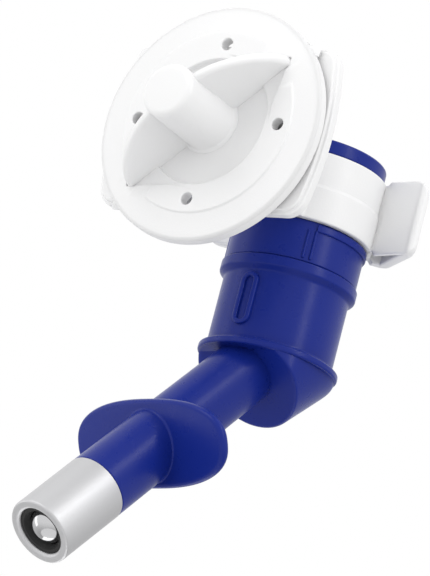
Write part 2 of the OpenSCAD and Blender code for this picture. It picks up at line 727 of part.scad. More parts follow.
module valve_spring() {
    color(steel) at_spout() polyhedron(points = wire_points, faces = wire_faces, convexity = 6);
}

back_plate();
bracket_neck();
clip_ring();
clip_tab_right();
clip_tab_left();
clamp_stud();
thrust_washer();
turn_disc();
wing_grip();
bottle_cap();
neck_gasket();
cap_o_ring();
nozzle_body();
root_o_ring();
nozzle_tube();
tube_shield();
steel_sleeve();
sleeve_o_ring();
seat_ring();
valve_ball();
ball_cup();
valve_spring();
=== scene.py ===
import math
import bpy
import bmesh
import numpy as np
from mathutils import Matrix, Vector


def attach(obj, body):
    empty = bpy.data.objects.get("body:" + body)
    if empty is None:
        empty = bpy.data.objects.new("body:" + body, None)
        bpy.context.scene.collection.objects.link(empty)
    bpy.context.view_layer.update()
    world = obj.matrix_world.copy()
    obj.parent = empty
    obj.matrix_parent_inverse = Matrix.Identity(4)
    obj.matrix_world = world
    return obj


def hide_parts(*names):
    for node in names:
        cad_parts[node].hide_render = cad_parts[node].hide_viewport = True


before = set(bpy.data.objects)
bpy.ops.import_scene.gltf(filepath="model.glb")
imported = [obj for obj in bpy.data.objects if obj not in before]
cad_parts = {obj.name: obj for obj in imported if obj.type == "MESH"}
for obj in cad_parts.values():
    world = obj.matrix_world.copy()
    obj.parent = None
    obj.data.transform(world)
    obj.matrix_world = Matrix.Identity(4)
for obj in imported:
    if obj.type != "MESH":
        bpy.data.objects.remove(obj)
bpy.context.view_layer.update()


# ---- Camera: a long lens in front of the clamp, to its right and a little below it,
# rolled by about 15 degrees so that the bottle's axis leans to the left.
side, below, roll = math.radians(35.03), math.radians(-16.0), math.radians(14.70)
stand, focal_px, picture_px, chip = (0.59705, -0.83700, -0.33088), 4794.4, 576, 36
back = Vector((math.sin(side) * math.cos(below), -math.cos(side) * math.cos(below),
               math.sin(below)))
level = Vector((math.cos(side), math.sin(side), 0))
over = back.cross(level)
cam_x = math.cos(roll) * level + math.sin(roll) * over
cam_y = math.cos(roll) * over - math.sin(roll) * level
camera = bpy.data.objects.new("camera", bpy.data.cameras.new("camera"))
camera.data.sensor_fit = "AUTO"
camera.data.sensor_width = chip
camera.data.lens = focal_px / picture_px * chip
camera.data.clip_start, camera.data.clip_end = 0.05, 20
facing = Matrix((cam_x, cam_y, back)).transposed().to_4x4()
camera.matrix_world = Matrix.Translation(stand) @ facing
bpy.context.scene.collection.objects.link(camera)
bpy.context.scene.camera = camera


# ---- Studio: a pale round floor well under the hanging nozzle, a white surround that
# dims towards the back and below, and four soft lamps.
floor_r, floor_z, part_mid = 0.5, -0.75, (0, 0.02, -0.04)
corners = np.linspace(0, 2 * np.pi, 96, endpoint=False)
floor_mesh = bpy.data.meshes.new("floor")
floor_mesh.from_pydata([(floor_r * math.cos(a), floor_r * math.sin(a) + part_mid[1], floor_z)
                        for a in corners], [], [list(range(len(corners)))])
floor = bpy.data.objects.new("floor", floor_mesh)
bpy.context.scene.collection.objects.link(floor)
paper = bpy.data.materials.new("paper")
paper.use_nodes = True
sheen = paper.node_tree.nodes["Principled BSDF"].inputs
sheen["Base Color"].default_value = (0.86, 0.86, 0.86, 1)
sheen["Roughness"].default_value = 0.9
floor_mesh.materials.append(paper)

world = bpy.data.worlds.new("white surround")
bpy.context.scene.world = world
world.use_nodes = True
nodes, link = world.node_tree.nodes, world.node_tree.links.new
sky = nodes["Background"]
sky.inputs["Strength"].default_value = 1.05
heading, toward, dusk, seen, path, blend = (nodes.new("ShaderNode" + kind) for kind in (
    "TexCoord", "VectorMath", "MapRange", "Background", "LightPath", "MixShader"))
toward.operation = "DOT_PRODUCT"
toward.inputs[1].default_value = (-0.1, 0.45, -0.89)
dusk.interpolation_type = "SMOOTHSTEP"
for key, value in (("From Min", -0.1), ("From Max", 0.9), ("To Min", 1.0), ("To Max", 0.5)):
    dusk.inputs[key].default_value = value
seen.inputs["Color"].default_value = (1, 1, 1, 1)
seen.inputs["Strength"].default_value = 1.0
link(path.outputs["Is Camera Ray"], blend.inputs[0])
link(heading.outputs["Generated"], toward.inputs[0])
link(toward.outputs["Value"], dusk.inputs["Value"])
link(dusk.outputs["Result"], sky.inputs["Color"])
link(sky.outputs[0], blend.inputs[1])
link(seen.outputs[0], blend.inputs[2])
link(blend.outputs[0], nodes["World Output"].inputs["Surface"])
bpy.context.scene.view_settings.view_transform = "Standard"


def soft_lamp(name, azimuth, elevation, distance, size, watts):
    """Oblong lamp at a compass place round the part: its way off the part's middle is the
    unit vector of azimuth and elevation times the distance, and it faces that middle."""
    a, e = math.radians(azimuth), math.radians(elevation)
    lamp = bpy.data.objects.new(name, bpy.data.lights.new(name, "AREA"))
    lamp.data.shape = "RECTANGLE"
    lamp.data.size, lamp.data.size_y = size
    lamp.data.energy = watts
    away = Vector((math.sin(a) * math.cos(e), -math.cos(a) * math.cos(e), math.sin(e)))
    lamp.location = Vector(part_mid) + away * distance
    lamp.rotation_mode = "QUATERNION"
    lamp.rotation_quaternion = (-away).to_track_quat("-Z", "Y")
    bpy.context.scene.collection.objects.link(lamp)


soft_lamp("key", -22, 34, 0.9, (0.45, 0.45), 1.45)
soft_lamp("right", 82, 32, 0.9, (0.10, 0.75), 1.95)
soft_lamp("left", -66, -6, 0.9, (0.25, 0.8), 0.7)
soft_lamp("under", -150, -50, 0.75, (0.5, 0.5), 1.3)


# ---- Back plate: white moulded plate that lies against the inside of the cage wall.
# Its ends bow outwards, and its front edge is stepped down all round.
plate_w, plate_h, plate_t, plate_bow = 58.6, 40.0, 3.3, 75.0
plate_corner, plate_step, plate_flat = 4.6, 0.8, 4.0
plate_mid = np.array([-0.5, 0.7])


def rounded(points, radii, steps=5, lead=0.06):
    """Open outline with each inner corner replaced by an arc that is tangent to both sides.
    The arc's ends get a second point a short lead away, which keeps flat faces flat in
    shading."""
    p = np.array(points, float)
    out = [p[:1]]
    for i in range(1, len(p) - 1):
        a, c, b = p[i - 1], p[i], p[i + 1]
        u, v = (a - c) / np.linalg.norm(a - c), (b - c) / np.linalg.norm(b - c)
        half = np.arccos(np.clip(u @ v, -1, 1)) / 2
        r = radii[i - 1] if np.ndim(radii) else radii
        if r <= 0 or half > 1.55:
            out.append(c[None])
            continue
        t = r / np.tan(half)
        mid = c + (u + v) / np.linalg.norm(u + v) * r / np.sin(half)
        f = np.linspace(0, 1, steps + 1)[:, None]
        chord = (c + u * t - mid) * (1 - f) + (c + v * t - mid) * f
        arc = mid + chord / np.linalg.norm(chord, axis=1)[:, None] * r
        out += [(c + u * (t + lead))[None], arc, (c + v * (t + lead))[None]]
    out.append(p[-1:])
    return np.concatenate(out)


def grid_faces(rows, count, first, loop_rows, loop_count):
    """Quads of a grid stored row by row, closed along either way if asked."""
    i, j = np.meshgrid(np.arange(rows if loop_rows else rows - 1),
                       np.arange(count if loop_count else count - 1), indexing="ij")
    i2, j2 = (i + 1) % rows, (j + 1) % count
    quads = np.stack([i * count + j, i * count + j2, i2 * count + j2, i2 * count + j], -1)
    return first + quads.reshape(-1, 4)


def solid(name, grids, angle=40.0, weld=2e-6):
    """One mesh from grids of points in millimetres, each with whether its rows and its
    columns close. Points that coincide are welded, and the faces are turned outwards."""
    points, faces, first = [], [], 0
    for g, loop_rows, loop_count in grids:
        rows, count = g.shape[:2]
        points.append(g.reshape(-1, 3))
        faces.append(grid_faces(rows, count, first, loop_rows, loop_count))
        first += rows * count
    mesh = bpy.data.meshes.new(name)
    mesh.from_pydata((np.concatenate(points) * 0.001).tolist(), [],
                     np.concatenate(faces).tolist())
    bm = bmesh.new()
    bm.from_mesh(mesh)
    bmesh.ops.remove_doubles(bm, verts=bm.verts, dist=weld)
    bmesh.ops.dissolve_degenerate(bm, edges=bm.edges, dist=weld / 4)
    bmesh.ops.recalc_face_normals(bm, faces=bm.faces)
    bm.to_mesh(mesh)
    bm.free()
    mesh.shade_smooth()
    mesh.set_sharp_from_angle(angle=math.radians(angle))
    piece = bpy.data.objects.new(name, mesh)
    bpy.context.scene.collection.objects.link(piece)
    return piece


def to_clamp(p):
    """Clamp axes to row axes: across, up, and out through the cage wall."""
    return np.stack([p[..., 0], -p[..., 2], p[..., 1]], -1)


def plate_outline(inset, per=22):
    """Closed outline of the plate drawn in by an inset: an arc for each bowed end, straight
    top and bottom, and round corners that touch both. One quarter is mirrored twice."""
    bow, corner = plate_bow - inset, plate_corner - inset
    bow_x, corner_y = plate_w / 2 - plate_bow, plate_h / 2 - plate_corner
    swing = math.asin(corner_y / (plate_bow - plate_corner))
    corner_x = bow_x + (plate_bow - plate_corner) * math.cos(swing)
    a = np.linspace(0, swing, per, endpoint=False)
    b = np.linspace(swing, np.pi / 2, per)
    x = np.concatenate([bow_x + bow * np.cos(a), corner_x + corner * np.cos(b)])
    y = np.concatenate([bow * np.sin(a), corner_y + corner * np.sin(b)])
    top = np.stack([np.concatenate([x, -x[::-1][:-1]]), np.concatenate([y, y[::-1][:-1]])], -1)
    return plate_mid + np.concatenate([top, top[::-1][1:-1] * [1, -1]])


def fanned(rows, fan, shares):
    """Rows of a plate closed by flat faces: at both ends the outline is repeated, shrunk
    towards the fan point to each share of its size in turn."""
    first, last = rows[0], rows[-1]
    for share in shares:
        rows.insert(0, np.c_[fan + (first[:, :2] - fan) * share, first[:, 2]])
        rows.append(np.c_[fan + (last[:, :2] - fan) * share, last[:, 2]])
    return np.stack(rows)


def mottled(name, colour, tint, rough, speck, bump, gloss, depth=0.0):
    """Moulded plastic: a colour that drifts over centimetres, roughness that drifts over
    millimetres, and the fine skin of a spark-eroded mould as bump. All read Object
    coordinates."""
    m = bpy.data.materials.new(name)
    m.use_nodes = True
    nodes, link = m.node_tree.nodes, m.node_tree.links.new
    shader = nodes["Principled BSDF"]
    where = nodes.new("ShaderNodeTexCoord")

    def cloud(scale, detail, into):
        noise = nodes.new("ShaderNodeTexNoise")
        noise.inputs["Scale"].default_value, noise.inputs["Detail"].default_value = scale, detail
        link(where.outputs["Object"], noise.inputs["Vector"])
        link(noise.outputs["Fac"], into)

    shade = nodes.new("ShaderNodeMix")
    shade.data_type = "RGBA"
    shade.inputs[6].default_value = (*colour, 1)
    shade.inputs[7].default_value = (*tint, 1)
    cloud(55, 2, shade.inputs[0])
    link(shade.outputs[2], shader.inputs["Base Color"])
    span = nodes.new("ShaderNodeMapRange")
    span.inputs["To Min"].default_value = rough - 0.05
    span.inputs["To Max"].default_value = rough + 0.07
    cloud(420, 4, span.inputs["Value"])
    link(span.outputs["Result"], shader.inputs["Roughness"])
    relief = nodes.new("ShaderNodeBump")
    relief.inputs["Strength"].default_value = bump
    relief.inputs["Distance"].default_value = 0.0001
    cloud(speck, 3, relief.inputs["Height"])
    link(relief.outputs["Normal"], shader.inputs["Normal"])
    shader.inputs["Specular IOR Level"].default_value = gloss
    if depth:
        shader.inputs["Subsurface Weight"].default_value = depth
        shader.inputs["Subsurface Radius"].default_value = (0.0016, 0.0016, 0.0015)
        shader.inputs["Subsurface Scale"].default_value = 1.0
    return m


def dress(piece, material):
    """The material becomes the piece's only one."""
    piece.data.materials.clear()
    piece.data.materials.append(material)


def finish_piece(piece, body, material, slot, *nodes):
    """The piece takes its material, rides on its body and stands for its nodes. The slot
    argument is not used."""
    dress(piece, material)
    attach(piece, body)
    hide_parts(*nodes)


white = mottled("white plastic", (0.80, 0.80, 0.80), (0.77, 0.77, 0.775), 0.36, 2600, 0.25,
                gloss=0.35, depth=0.12)
edge = rounded([(plate_flat, -plate_t), (0, -plate_t), (0, -plate_step),
                (plate_step, -plate_step), (plate_step, 0), (plate_flat, 0)],
               [0.5, 0.4, 0.25, 0.35])
rows = [np.c_[plate_outline(s), np.full(len(plate_outline(s)), h)] for s, h in edge]
plate = solid("bracket_back_plate",
              [(to_clamp(fanned(rows, plate_mid, (0.9, 0.4, 0.0))), False, True)])
finish_piece(plate, "bracket", white, "white_plastic", "back_plate")


# ---- Clamp stud: threaded rod moulded in one with the plate. Its coarse round thread
# takes the wing nut; the end is chamfered so that the nut starts by itself.
stud_r, stud_groove, stud_pitch, stud_len, stud_fade = 4.22, 0.7, 3.0, 20.0, 1.2
thread_from, stud_chamfer = 0.6, 0.9


def around(profile, count):
    """Solid of revolution about z: each (radius, height) point becomes a ring of points."""
    a = np.linspace(0, 2 * np.pi, count, endpoint=False)
    p = np.asarray(profile, float)
    return np.stack([p[:, :1] * np.cos(a), p[:, :1] * np.sin(a),
                     np.repeat(p[:, 1:], count, 1)], -1)


def helix_wave(a, z, pitch, land):
    """0 in the groove and 1 on the crest of a right-handed thread: a cosine of the angle and
    the height, steepened so that crests and grooves have flat lands."""
    wave = np.cos(2 * np.pi * (z / pitch - a / (2 * np.pi)))
    return 0.5 + 0.5 * np.tanh(land * wave) / np.tanh(land)


a = np.linspace(0, 2 * np.pi, 96, endpoint=False)
z = np.linspace(thread_from, stud_len - 1.2, 150)[:, None]
fade = np.clip(np.minimum(z - thread_from, stud_len - 1.4 - z) / stud_fade, 0, 1)
radius = stud_r - stud_groove * (1 - helix_wave(a, z, stud_pitch, 2.2)) * fade
thread = np.stack([radius * np.cos(a), radius * np.sin(a), z + 0 * radius], -1)
foot = around([(0, -plate_t + 0.4), (stud_r, -plate_t + 0.4), (stud_r + 0.5, -0.1),
               (stud_r, thread_from - 0.05)], 96)
nose = around(rounded([(stud_r, stud_len - 1.1), (stud_r - stud_chamfer, stud_len),
                       (0, stud_len)], 0.3), 96)
stud = solid("bracket_clamp_stud",
             [(to_clamp(np.concatenate([foot, thread, nose])), False, True)])
finish_piece(stud, "bracket", white, "white_plastic", "clamp_stud")


# ---- Neck: I-shaped arm from the plate to the clip ring, one moulding with both. It flares
# into the plate and dies into the ring's outside.
axis_y, ring_h, ring_wall, ring_in, ring_low = 42.7, 16.5, 1.75, 15.28, -9.15
ring_out, ring_mid = ring_in + ring_wall, ring_low + ring_h / 2
neck_w, neck_web, neck_rib, neck_root, neck_flare, neck_tuck = 18.0, 2.8, 3.0, 2.6, 1.1, 0.6


def i_outline(grow):
    """Closed I-shaped outline about the ring's mid-height, its faces moved out by grow. One
    quarter is mirrored twice."""
    w, h = neck_w / 2 + grow, ring_h / 2 + min(grow, 0)
    web, rib = ring_h / 2 - neck_web - grow, neck_rib / 2 + grow
    quarter = rounded([(0, h), (w, h), (w, web), (rib, web), (rib, 0)], [0.55, 0.55, 0.9], 4)
    right = np.concatenate([quarter[:-1], quarter[::-1] * [1, -1]])
    return np.concatenate([right, right[::-1][1:-1] * [-1, 1]])


def neck_row(grow, y, from_ring):
    """The outline at a distance y out from the plate's back, or from the ring's round face."""
    o = i_outline(grow)
    face = axis_y - np.sqrt(ring_out ** 2 - o[:, 0] ** 2)
    return np.stack([o[:, 0], y + from_ring * face, o[:, 1] + ring_mid], -1)


ease = np.linspace(0, np.pi / 2, 6)
rows = [neck_row(neck_flare, neck_root, 0)]
rows += [neck_row(neck_flare * (1 - math.sin(e)), plate_t + neck_flare * (1 - math.cos(e)), 0)
         for e in ease]
rows += [neck_row(0, -0.7 + 0.75 * k / 8, 1) for k in range(3)]
rows += [neck_row(neck_tuck * (1 - math.cos(e)), -neck_tuck * (1 - math.sin(e)), 1)
         for e in ease]
rows = [rows[0] * [0, 1, 0] + [0, 0, ring_mid], *rows, rows[-1] + [0, 0.8, 0],
        rows[-1] * 0 + [0, axis_y - ring_out + 1.2, ring_mid]]
neck = solid("bracket_neck", [(np.stack(rows), False, True)], angle=50)
finish_piece(neck, "bracket", white, "white_plastic", "bracket_neck")


# ---- Clip ring: springy C-shaped band that snaps round the cap. Its upper half stands back
# by a hair from the lower half, which leaves a line round the band.
mouth, band_step, step_top, step_foot = math.radians(42), 0.35, 0.52, 0.47
band = rounded([(ring_in, 0), (ring_in, ring_h), (ring_out - band_step, ring_h),
                (ring_out - band_step, ring_h * step_top), (ring_out, ring_h * step_foot),
                (ring_out, 0), (ring_in, 0)], [0.3, 0.35, 0.25, 0.25, 0.35], 4)[:-1]
# the band's outline is carried round the ring's axis from one side of the mouth to the other
sweep = np.linspace(mouth, 2 * np.pi - mouth, 181)
ring_grid = np.stack([band[:, 0] * np.sin(sweep)[:, None],
                      axis_y + band[:, 0] * np.cos(sweep)[:, None],
                      np.repeat(band[None, :, 1] + ring_low, len(sweep), 0)], -1)


def ring_end(angle):
    """Row of equal points in the middle of the band, which closes its flat end there."""
    r = (ring_in + ring_out) / 2
    point = [r * math.sin(angle), axis_y + r * math.cos(angle), ring_mid]
    return np.repeat(np.array([[point]]), len(band), 1)


ring_grid = np.concatenate([ring_end(sweep[0]), ring_grid, ring_end(sweep[-1])])
clip = solid("bracket_clip_ring", [(ring_grid, False, True)])
finish_piece(clip, "bracket", white, "white_plastic", "clip_ring")


# ---- Finger tabs: the ring's ends turn out as lips and sweep back along the outside, and a
# thin web braces each tip against the ring. Finger and thumb spring the clip open.
tab_t, tab_spread, lip_out, lip_back, lip_bend, tab_sweep = 2.6, 11.4, 3.9, 2.7, 1.55, 7.0
tab_web, web_place, tab_over, tab_reach = 1.5, math.radians(17), 0.85, ring_out + tab_spread
tip_foot_round, tip_top_round, tab_soft = 2.4, 4.0, 0.6


def place_on_ring(angle):
    """Plan point in the middle of the ring's wall, at an angle from the middle of its
    mouth."""
    return (ring_in + ring_out) / 2 * np.array([math.sin(angle), math.cos(angle)])


def tab_ends(plan):
    """Heights of the tab's foot and top over a plan point: level with the ring beside it, a
    little past it farther out, and rounded off by a quarter circle towards the tip."""
    off_ring = np.hypot(plan[..., 0], plan[..., 1]) - ring_out
    past = tab_over * np.clip((off_ring - 0.35) / 0.5, 0, 1)
    ends = []
    for corner in (tip_foot_round, tip_top_round):
        t = np.clip((plan[..., 0] - tab_reach + corner) / corner, 0, 1)
        ends.append(corner * (1 - np.sqrt(1 - t * t)) - past)
    return ends[0], ring_h - ends[1]


def capped(g):
    """Grid with a row of equal points before its first and after its last row: the middle of
    that row, which closes the end flat."""
    return np.concatenate([g[:1] * 0 + g[:1].mean(1, keepdims=True), g,
                           g[-1:] * 0 + g[-1:].mean(1, keepdims=True)])


def upright(line, half, taper):
    """Upright wall along a plan line: a tall slot with rounded corners, carried along the
    line and ended by the tab's foot and top. The taper narrows it where the line ends in a
    round."""
    way = np.gradient(line, axis=0)
    way /= np.linalg.norm(way, axis=1)[:, None]
    out = np.c_[-way[:, 1], way[:, 0]]
    q = np.linspace(0, np.pi / 2, 6)
    flank = np.r_[0, half - tab_soft + tab_soft * np.sin(q)]
    inset = np.r_[0, tab_soft * (1 - np.cos(q))]
    wide, lift = np.r_[flank, flank[::-1]], np.r_[inset, -inset[::-1]]
    high = np.r_[0 * flank, 0 * flank + 1]
    wide = np.r_[wide, -wide[::-1][1:-1]]
    lift, high = np.r_[lift, lift[::-1][1:-1]], np.r_[high, high[::-1][1:-1]]
    plan = line[:, None] + out[:, None] * (taper[:, None] * wide)[..., None]
    low, top = tab_ends(plan)
    return capped(np.concatenate([plan, (np.where(high > 0, top, low) + lift)[..., None]], -1))


root = place_on_ring(mouth)
bend, tip = root + [lip_out, lip_back], np.array([tab_reach - tab_t / 2, root[1] - tab_sweep])
start = root - (bend - root) / np.linalg.norm(bend - root) * 0.9
line = rounded([start, bend, tip], [lip_bend], 10)
run = np.r_[0, np.cumsum(np.linalg.norm(np.diff(line, axis=0), axis=1))]
s = np.unique(np.r_[np.linspace(0, run[-1], 60), run])
line = np.c_[np.interp(s, run, line[:, 0]), np.interp(s, run, line[:, 1])]
close = np.linspace(0, np.pi / 2, 9)[1:]
onward = (tip - bend) / np.linalg.norm(tip - bend)
line = np.r_[line, tip + onward * (tab_t / 2 * np.sin(close))[:, None]]
outer_wall = upright(line, tab_t / 2, np.r_[np.ones(len(s)), np.maximum(np.cos(close), 0.02)])
web_root = place_on_ring(mouth + web_place)
onward = (tip - web_root) / np.linalg.norm(tip - web_root)
shift = np.array([onward[1], -onward[0]])
web_way = tip - web_root + shift * (tab_t - 2 * tab_web) / 2
web_line = web_root + shift * tab_web / 2 + np.linspace(0, 1, 50)[:, None] * web_way
web = upright(web_line, tab_web / 2, np.ones(50))
for name, mirror in (("right", 1), ("left", -1)):
    walls = [(g * [mirror, 1, 1] + [0, axis_y, ring_low], False, True)
             for g in (outer_wall, web)]
    tab = solid("bracket_tab_" + name, walls)
    finish_piece(tab, "bracket", white, "white_plastic", "clip_tab_" + name)


# ---- Thrust washer: slippery white ring between the plate and the nut, hidden in the
# disc's back.
dress(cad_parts["thrust_washer"], white)


# ---- Turn disc: the white nut's broad face, which bears on the cage wires. The middle of its
# front is raised, with a sunk well that runs out to the wing tips, and four small holes.
disc_r, disc_back, disc_face, face_r, edge_drop = 28.5, 0.8, 5.0, 21.9, 1.1
well_r, well_floor, wing_reach, lean, corner_depth = 15.1, 3.7, 24.1, math.radians(43), 0.6
hole_at, hole_r, hole_floor, grip_r = 18.8, 1.45, 1.5, 4.30
rim_h = disc_face - edge_drop
a = np.linspace(0, 2 * np.pi, 432, endpoint=False)
# the well's edge: its circle, and two tangents to it that meet at each wing tip
swing = np.abs((a - lean + np.pi / 2) % np.pi - np.pi / 2)
tangent = math.acos(well_r / wing_reach)
edge_near = well_r / np.cos(np.minimum(np.abs(tangent - swing), 1.2))
edge_far = well_r / np.cos(np.minimum(tangent + swing, 1.2))
tip_cut = -np.log(np.exp(-3.0 * edge_near) + np.exp(-3.0 * edge_far)) / 3.0
corner_edge = np.where(swing < tangent, np.maximum(tip_cut, well_r), well_r)
shelf_depth = corner_depth * np.clip((corner_edge - well_r - 0.15) / 0.9, 0, 1)
corner_edge = np.maximum(corner_edge, well_r + 1.15)
front = rounded([(0, disc_face), (face_r, disc_face), (face_r + 0.3, disc_face - 0.45),
                 (disc_r - 1.3, rim_h + 0.05), (disc_r, rim_h), (disc_r, disc_back)],
                [0.3, 0.3, 0, 0.9], 6)


def face_height(r):
    """Height of the disc's front at a radius, read off its profile."""
    return np.interp(r, front[:, 0], front[:, 1])


wall = rounded([(-2.5, 0), (0, 0), (0.1, 1), (2.5, 1)], [0.34, 0.30], 5)[1:-1]
rows = [(grip_r + 0 * a, well_floor + 0 * a), (9.0 + 0 * a, well_floor + 0 * a)]
for off, part in wall:
    r = well_r + off * 1.15 + 0 * a
    rows.append((r, well_floor + part * (face_height(r) - shelf_depth - well_floor)))
for off, part in wall:
    r = corner_edge + off
    rows.append((r, face_height(r) - shelf_depth * (1 - part)))
# the profile's rings give way to the wing tips' corners, each a little outside the last
lead = corner_edge + 0.62
for k, (r, h) in enumerate(front):
    if face_r - 0.6 < r < disc_r - 0.001:
        r = np.maximum(r, lead + 0.12 * len(rows) - 1.2)
        if h > rim_h - 0.001 and r.max() < disc_r - 0.9:
            r = np.minimum(r, disc_r - 0.95 + 0.003 * k)
        rows.append((r, face_height(r)))
rim = rounded([(disc_r - 1.0, rim_h), (disc_r, rim_h), (disc_r, disc_back),
               (disc_r - 2.2, disc_back), (disc_r - 2.2, disc_back + 0.6), (disc_r - 3.2, 2.2),
               (13.0, 2.2), (13.0, disc_back), (11.25, disc_back), (11.25, 2.05),
               (grip_r, 2.05)], [0.8, 0.6, 0.3, 0.1, 0.5, 0.5, 0.3, 0.3, 0.1], 5)
rows += [(r + 0 * a, h + 0 * a) for r, h in rim[1:]]
disc_grid = np.stack([np.stack([r * np.cos(a), r * np.sin(a), h], -1) for r, h in rows])
disc = solid("nut_turn_disc", [(to_clamp(disc_grid), True, True)])


def carve(piece, tool, how="DIFFERENCE"):
    """Boolean of the piece with a tool, put into the piece's own mesh; the tool goes."""
    cut = piece.modifiers.new("cut", "BOOLEAN")
    cut.operation, cut.solver, cut.object = how, "EXACT", tool
    graph = bpy.context.evaluated_depsgraph_get()
    mesh = bpy.data.meshes.new_from_object(piece.evaluated_get(graph))
    piece.modifiers.clear()
    piece.data = mesh
    bpy.data.objects.remove(tool)
    mesh.shade_smooth()
    mesh.set_sharp_from_angle(angle=math.radians(40))


drill = rounded([(0, hole_floor), (hole_r, hole_floor), (hole_r, disc_face),
                 (hole_r + 1.2, disc_face), (hole_r + 1.2, disc_face + 1),
                 (0, disc_face + 1)], [0, 0.28, 0, 0], 4)
for k in range(4):
    place = [hole_at * math.cos(k * math.pi / 2), hole_at * math.sin(k * math.pi / 2), 0]
    carve(disc, solid("drill", [(to_clamp(around(drill, 40) + place), False, True)]))
finish_piece(disc, "disc", white, "white_plastic", "turn_disc")


# ---- Wing grip: hub with the blind threaded bore and two thin wings for the fingers, one
# moulding with the disc. The wings' edges are round and slope down to the disc's rim.
hub_r, hub_top, hub_roof, wing_h, wing_t, wing_bow = 6.65, 23.0, 1.6, 15.6, 2.8, 1.55
wing_flat, wing_root, wing_foot = 4.0, 2.0, -0.5
hub = around(rounded([(0, well_floor - 0.4), (hub_r + 0.8, well_floor - 0.4),
                      (hub_r + 0.75, well_floor + 0.05), (hub_r + 0.05, well_floor + 0.75),
                      (hub_r - 0.25, hub_top), (0, hub_top + 0.35)], [0, 0.1, 0.6, 1.5], 8),
             120)


def turned(u, v, angle):
    """The two coordinates u and v turned by an angle in their plane."""
    c, s = math.cos(angle), math.sin(angle)
    return u * c - v * s, u * s + v * c


def wing_grid(heading):
    """Wing as a plate: the edge curve is a rounded quarter from the foot's end up to the hub,
    closed through the hub and the disc, and carried over a rounded edge profile across the
    thickness. The wing thins towards its top."""
    top, span = wing_h + 1.3, wing_reach - 0.6 - hub_r
    t = np.linspace(0, np.pi / 2, 60)
    curve = np.c_[hub_r + span * np.sin(t) ** (2 / wing_bow), top * np.cos(t) ** (2 / wing_bow)]
    curve = np.r_[[[wing_root, top]], curve, [[curve[-1, 0], wing_foot]],
                  [[wing_root, wing_foot]]]
    way = np.roll(curve, -1, 0) - np.roll(curve, 1, 0)
    inward = np.c_[way[:, 1], -way[:, 0]] / np.linalg.norm(way, axis=1)[:, None]
    inward *= np.where(curve[:, :1] > wing_root + 0.01, 1, 0)
    inward[-2] = [0, 0]
    edge = rounded([(wing_flat, -wing_t / 2), (0, -wing_t / 2), (0, wing_t / 2),
                    (wing_flat, wing_t / 2)], [1.15, 1.15], 7)[1:-1]
    rows = [np.c_[curve + inward * s, np.full(len(curve), w)] for s, w in edge]
    g = fanned(rows, np.array([hub_r + 3.0, 3.0]), (0.5, 0.0))
    g[..., 2] *= 1.0 - 0.012 * np.clip(g[..., 1], 0, None)
    x, y = turned(g[..., 0], g[..., 2], heading)
    return np.stack([x, y, g[..., 1] + well_floor], -1)


grip = solid("nut_wing_grip", [(to_clamp(hub), False, True)])
for turned_by in (0, math.pi):
    carve(grip, solid("wing", [(to_clamp(wing_grid(lean + turned_by)), False, True)]), "UNION")
bore = around([(0, 0), (grip_r, 0), (grip_r, hub_top - hub_roof), (0, hub_top - hub_roof)], 72)
carve(grip, solid("bore", [(to_clamp(bore), False, True)]))
finish_piece(grip, "disc", white, "white_plastic", "wing_grip")


# ---- Bottle cap: blue moulded screw cap for the neck of an upturned bottle. The clip ring
# holds its plain journal; a half collar and four short ribs below that let fingers grip it.
spout_turn, nozzle_z, cap_foot, cap_top = math.radians(-12.7), -39.6, 20.6, 50.5
band_r, journal_r, rim_r, rim_foot = 15.6, 15.2, 15.9, 47.2
shoulder_r, shoulder_foot, shoulder_top, collar_half = 16.1, 28.2, 30.2, 59.5
bottle_r, thread_root, bottle_pitch, thread_fade = 13.0, 13.85, 2.7, 1.0
socket_floor, gasket_room, socket_web, skirt_r, water_r = 32.0, 2.0, 2.2, 13.3, 7.0
rib_out, rib_in = 0.42, 0.5


def to_bottle(p):
    """Axes of the cap and nozzle body, z up the bottle, to row axes."""
    x, y = turned(p[..., 0], p[..., 1], spout_turn)
    return np.stack([x, y + axis_y, p[..., 2] + nozzle_z], -1)


blue = mottled("blue plastic", (0.0072, 0.0205, 0.212), (0.0057, 0.0170, 0.192), 0.28, 2200,
               0.22, gloss=0.17)
outer = rounded([(skirt_r + 0.3, cap_foot), (band_r, cap_foot), (band_r, shoulder_top),
                 (journal_r, shoulder_top), (journal_r, rim_foot), (rim_r, rim_foot),
                 (rim_r, cap_top), (bottle_r + 1.1, cap_top)],
                [0.35, 0.2, 0.1, 0.15, 0.3, 0.6], 5)
gasket_top = socket_floor + gasket_room
a = np.linspace(0, 2 * np.pi, 192, endpoint=False)
z = np.linspace(cap_top - 1.2, gasket_top + 0.2, 140)[:, None]
fade = np.clip(np.minimum(cap_top - 1.4 - z, z - gasket_top) / thread_fade, 0, 1)
radius = bottle_r + (thread_root - bottle_r) * fade * (1 - helix_wave(a, z, bottle_pitch, 1.6))
thread = np.stack([radius * np.cos(a), radius * np.sin(a), z + 0 * radius], -1)
inner = rounded([(bottle_r, gasket_top), (thread_root, gasket_top),
                 (thread_root, socket_floor), (water_r, socket_floor),
                 (water_r, socket_floor - socket_web), (skirt_r, socket_floor - socket_web),
                 (skirt_r, cap_foot)], [0.1, 0.15, 0.4, 0.4, 0.3], 3)
shell = np.concatenate([around(outer, 192), around([(bottle_r + 0.9, cap_top - 0.3)], 192),
                        thread, around(inner, 192)])
collar_at = np.radians(np.linspace(-collar_half, collar_half - 360, 200))
collar = rounded([(band_r - 0.6, shoulder_foot), (shoulder_r, shoulder_foot),
                  (shoulder_r, shoulder_top - 0.2), (band_r - 0.6, shoulder_top - 0.2)],
                 [0.3, 0.3], 4)
collar = np.r_[collar, [[band_r - 0.6, shoulder_foot + 0.5]]]
rib = rounded([(band_r - rib_in, cap_foot + 0.6), (band_r + rib_out, cap_foot + 0.7),
               (band_r + rib_out, shoulder_foot + 0.1),
               (band_r - rib_in, shoulder_foot + 0.2)], [0.3, 0.3], 4)
